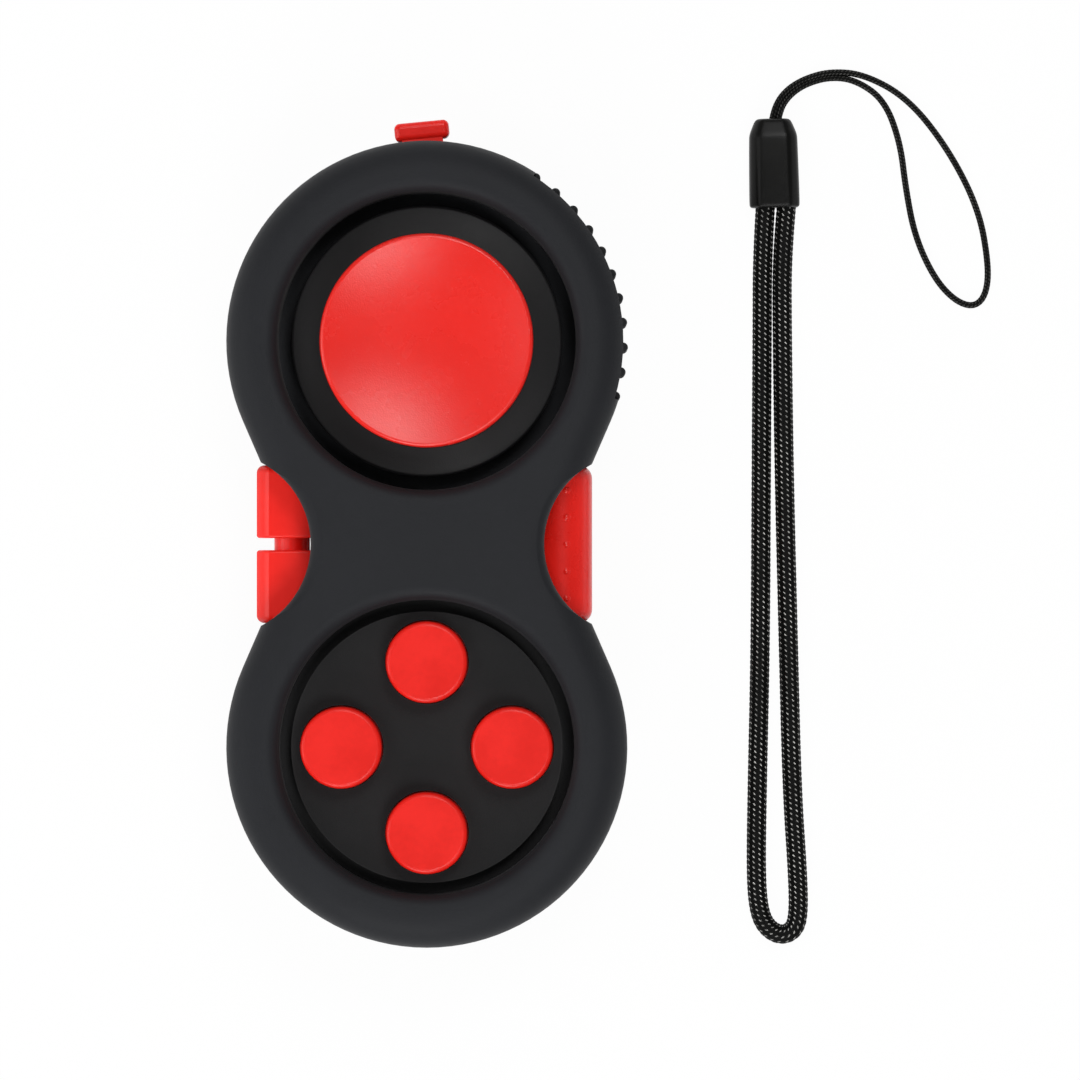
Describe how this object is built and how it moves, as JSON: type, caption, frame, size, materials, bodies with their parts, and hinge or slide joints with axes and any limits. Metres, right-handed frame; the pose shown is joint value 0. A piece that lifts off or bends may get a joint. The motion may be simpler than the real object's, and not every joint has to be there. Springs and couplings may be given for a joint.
{
  "type": "fidget pad",
  "caption": "Two-lobed hand-held fidget pad with a thumb stick, push buttons, side rollers, a flip toggle, a rear dial and a detached wrist strap laid beside it.",
  "frame": {"origin": "on the flat back face, midway between the two lobes", "axes": "+Z out of the front face, +Y towards the stick lobe and the toggle, +X towards the studded roller"},
  "size_m": [0.0927, 0.1065, 0.023],
  "materials": {
    "shell_black": "fine spark-textured soft black",
    "well_black": "smooth satin black",
    "grip_rubber": "matte",
    "red_plastic": "satin moulded red",
    "steel": "bright zinc plated",
    "spring_steel": "polished",
    "white_plastic": "natural acetal",
    "silicone": "translucent grey silicone",
    "braid": "woven polyester with pale flecks",
    "sleeve_black": "satin moulded black"
  },
  "bodies": {
    "housing": {"front_shell": "shell_black", "rear_shell": "shell_black", "housing_screws": "steel", "grip_strip": "grip_rubber", "stick_diaphragm": "silicone", "gimbal_frame": "white_plastic", "frame_screws": "steel", "button_plate": "well_black", "button_base": "white_plastic", "base_screws": "steel", "button_dome_top": "silicone", "button_dome_left": "silicone", "button_dome_right": "silicone", "button_dome_bottom": "silicone", "toggle_pin": "steel", "toggle_spring": "spring_steel", "left_axle": "steel", "roller_spring": "spring_steel", "right_axle": "steel", "strap_bar": "steel"},
    "gimbal": {"gimbal_ring": "white_plastic", "gimbal_pins": "steel"},
    "stick": {"stick_cap": "red_plastic", "stick_skirt": "well_black", "stick_stem": "white_plastic", "stick_screw": "steel", "stem_pin": "steel"},
    "toggle": {"toggle_lever": "red_plastic"},
    "left_roller": {"left_roller": "red_plastic"},
    "right_roller": {"right_roller": "red_plastic"},
    "dial": {"rear_dial": "red_plastic", "dial_washer": "steel", "dial_screw": "steel"},
    "wrist_strap": {"strap_sleeve": "sleeve_black", "strap_loop": "braid", "cord_loop": "braid"},
    "button_top": {"button_top": "red_plastic"},
    "button_left": {"button_left": "red_plastic"},
    "button_right": {"button_right": "red_plastic"},
    "button_bottom": {"button_bottom": "red_plastic"}
  },
  "joints": [
    {"name": "button_top_press", "type": "slide", "parent": "housing", "child": "button_top", "axis": [0, 0, -1], "range_m": [0, 0.0015], "stiffness_N_per_m": 600, "deforming": ["button_dome_top"]},
    {"name": "button_left_press", "type": "slide", "parent": "housing", "child": "button_left", "axis": [0, 0, -1], "range_m": [0, 0.0015], "stiffness_N_per_m": 600, "deforming": ["button_dome_left"]},
    {"name": "button_right_press", "type": "slide", "parent": "housing", "child": "button_right", "axis": [0, 0, -1], "range_m": [0, 0.0015], "stiffness_N_per_m": 600, "deforming": ["button_dome_right"]},
    {"name": "button_bottom_press", "type": "slide", "parent": "housing", "child": "button_bottom", "axis": [0, 0, -1], "range_m": [0, 0.0015], "stiffness_N_per_m": 600, "deforming": ["button_dome_bottom"]},
    {"name": "stick_tilt_y", "type": "hinge", "parent": "housing", "child": "gimbal", "pos_m": [0, 0.0244, 0.0095], "axis": [1, 0, 0], "range_deg": [-8, 8], "stiffness_Nm_per_rad": 0.12},
    {"name": "stick_tilt_x", "type": "hinge", "parent": "gimbal", "child": "stick", "pos_m": [0, 0.0244, 0.0095], "axis": [0, 1, 0], "range_deg": [-8, 8], "stiffness_Nm_per_rad": 0.12},
    {"name": "toggle_flip", "type": "hinge", "parent": "housing", "child": "toggle", "pos_m": [-0.0002, 0.045, 0.011], "axis": [0, 0, 1], "range_deg": [-11, 0]},
    {"name": "left_roller_turn", "type": "hinge", "parent": "housing", "child": "left_roller", "pos_m": [-0.01635, 0, 0.011], "axis": [0, 1, 0], "continuous": true},
    {"name": "right_roller_turn", "type": "hinge", "parent": "housing", "child": "right_roller", "pos_m": [0.01605, 0, 0.011], "axis": [0, 1, 0], "continuous": true},
    {"name": "dial_spin", "type": "hinge", "parent": "housing", "child": "dial", "pos_m": [0, 0.0244, 0.0015], "axis": [0, 0, -1], "continuous": true},
    {"name": "strap_lift", "type": "slide", "parent": "housing", "child": "wrist_strap", "axis": [0, 0, 1], "range_m": [0, 0.03]}
  ]
}
